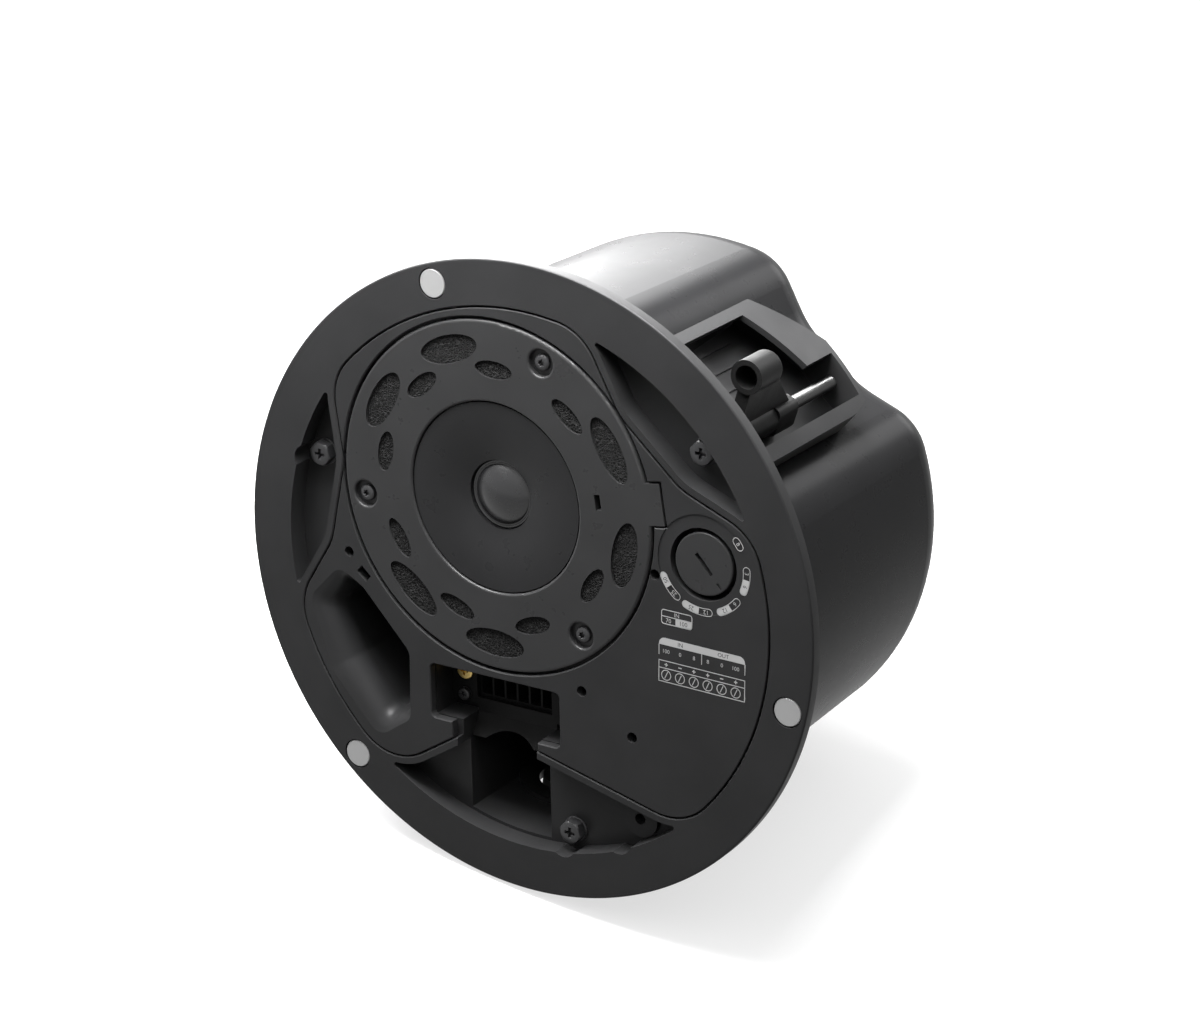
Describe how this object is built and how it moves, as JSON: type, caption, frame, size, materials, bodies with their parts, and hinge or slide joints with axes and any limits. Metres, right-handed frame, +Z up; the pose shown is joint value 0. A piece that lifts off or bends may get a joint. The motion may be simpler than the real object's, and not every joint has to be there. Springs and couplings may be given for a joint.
{
  "type": "in ceiling speaker",
  "caption": "Round ceiling loudspeaker: flanged bezel with magnetic grille seat, coaxial driver, flared port, tap selector, terminal well, lobed steel can and swing-out clamps.",
  "frame": {"origin": "centre of the flange's back face, which seats on the ceiling board", "axes": "+Z up into the ceiling, toward the back of the can; the front faces -Z; +Y toward the terminal side"},
  "size_m": [0.224, 0.2268, 0.1338],
  "materials": {
    "bezel_plastic": "fine satin texture",
    "plate_plastic": "satin",
    "waveguide_plastic": "satin",
    "can_paint": "gloss powder coat",
    "foam": "open-cell foam",
    "dome_film": "semi-gloss",
    "black_screws": "black zinc",
    "zinc": "zinc plate",
    "nut_metal": "plain",
    "arm_plastic": "matte glass-filled",
    "magnet_nickel": "satin nickel",
    "connector_plastic": "matte",
    "panel_plastic": "matte",
    "contact_brass": "plain",
    "basket_paint": "black",
    "paper_cone": "pressed paper",
    "surround_rubber": "matte",
    "spider_cloth": "impregnated cloth",
    "coil_copper": "enamelled wire",
    "motor_steel": "zinc plate",
    "ferrite": "ground ferrite",
    "board": "solder mask",
    "capacitor_film": "wrapped film",
    "wadding": "polyester fibre"
  },
  "bodies": {
    "speaker_body": {"back_can": "can_paint", "baffle": "bezel_plastic", "baffle_gasket": "foam", "bezel": "bezel_plastic", "cable_clamp": "arm_plastic", "cable_clamp_screws": "zinc", "can_gasket": "foam", "can_screws": "black_screws", "clamp_tower_1": "bezel_plastic", "clamp_tower_2": "bezel_plastic", "clamp_tower_3": "bezel_plastic", "crossover_board": "board", "crossover_capacitors": "capacitor_film", "crossover_inductor": "coil_copper", "damping_pad": "wadding", "driver_plate": "plate_plastic", "foam_disc": "foam", "grille_magnets": "magnet_nickel", "ground_screw": "zinc", "header_contacts": "contact_brass", "outlet_plug": "surround_rubber", "panel_screw": "black_screws", "plate_screws": "black_screws", "port_duct": "panel_plastic", "tap_switch": "connector_plastic", "terminal_header": "connector_plastic", "terminal_panel": "panel_plastic", "terminal_well": "bezel_plastic", "transformer_bracket": "zinc", "transformer_coil": "coil_copper", "transformer_core": "motor_steel", "tweeter_coil": "coil_copper", "tweeter_diaphragm": "dome_film", "tweeter_housing": "waveguide_plastic", "tweeter_magnet": "ferrite", "tweeter_waveguide": "waveguide_plastic", "woofer_basket": "basket_paint", "woofer_magnet": "ferrite", "woofer_spider": "spider_cloth", "woofer_surround": "surround_rubber", "woofer_top_plate": "motor_steel", "woofer_yoke": "motor_steel"},
    "woofer_moving": {"woofer_cone": "paper_cone", "dust_cap": "paper_cone", "woofer_voice_coil": "coil_copper"},
    "selector": {"tap_knob": "plate_plastic", "tap_shaft": "contact_brass"},
    "screw_1": {"clamp_screw_1": "zinc"},
    "nut_1": {"clamp_nut_1": "nut_metal"},
    "arm_1": {"clamp_arm_1": "arm_plastic"},
    "screw_2": {"clamp_screw_2": "zinc"},
    "nut_2": {"clamp_nut_2": "nut_metal"},
    "arm_2": {"clamp_arm_2": "arm_plastic"},
    "screw_3": {"clamp_screw_3": "zinc"},
    "nut_3": {"clamp_nut_3": "nut_metal"},
    "arm_3": {"clamp_arm_3": "arm_plastic"}
  },
  "joints": [
    {"name": "screw_1_turn", "type": "hinge", "parent": "speaker_body", "child": "screw_1", "pos_m": [0.08281, -0.03436, 0.02], "axis": [0, 0, 1], "range_deg": [-9050, 3650]},
    {"name": "nut_1_travel", "type": "slide", "parent": "speaker_body", "child": "nut_1", "axis": [0, 0, 1], "range_m": [-0.008, 0.02]},
    {"name": "arm_1_swing", "type": "hinge", "parent": "nut_1", "child": "arm_1", "pos_m": [0.08281, -0.03436, 0.02], "axis": [0, 0, 1], "range_deg": [-64, 0]},
    {"name": "screw_2_turn", "type": "hinge", "parent": "speaker_body", "child": "screw_2", "pos_m": [-0.01165, 0.0889, 0.02], "axis": [0, 0, 1], "range_deg": [-9050, 3650]},
    {"name": "nut_2_travel", "type": "slide", "parent": "speaker_body", "child": "nut_2", "axis": [0, 0, 1], "range_m": [-0.008, 0.02]},
    {"name": "arm_2_swing", "type": "hinge", "parent": "nut_2", "child": "arm_2", "pos_m": [-0.01165, 0.0889, 0.02], "axis": [0, 0, 1], "range_deg": [-64, 0]},
    {"name": "screw_3_turn", "type": "hinge", "parent": "speaker_body", "child": "screw_3", "pos_m": [-0.07116, -0.05454, 0.02], "axis": [0, 0, 1], "range_deg": [-9050, 3650]},
    {"name": "nut_3_travel", "type": "slide", "parent": "speaker_body", "child": "nut_3", "axis": [0, 0, 1], "range_m": [-0.008, 0.02]},
    {"name": "arm_3_swing", "type": "hinge", "parent": "nut_3", "child": "arm_3", "pos_m": [-0.07116, -0.05454, 0.02], "axis": [0, 0, 1], "range_deg": [-64, 0]},
    {"name": "tap_select", "type": "hinge", "parent": "speaker_body", "child": "selector", "pos_m": [0.0747, 0.0008, 0], "axis": [0, 0, 1], "range_deg": [-90, 90]},
    {"name": "cone_travel", "type": "slide", "parent": "speaker_body", "child": "woofer_moving", "axis": [0, 0, 1], "range_m": [-0.003, 0.003], "stiffness_N_per_m": 1800, "deforming": ["woofer_surround", "woofer_spider"]}
  ],
  "couplings": [
    {"joint": "screw_1_turn", "follows": "nut_1_travel", "rad_per_m": -7854},
    {"joint": "screw_2_turn", "follows": "nut_2_travel", "rad_per_m": -7854},
    {"joint": "screw_3_turn", "follows": "nut_3_travel", "rad_per_m": -7854}
  ]
}
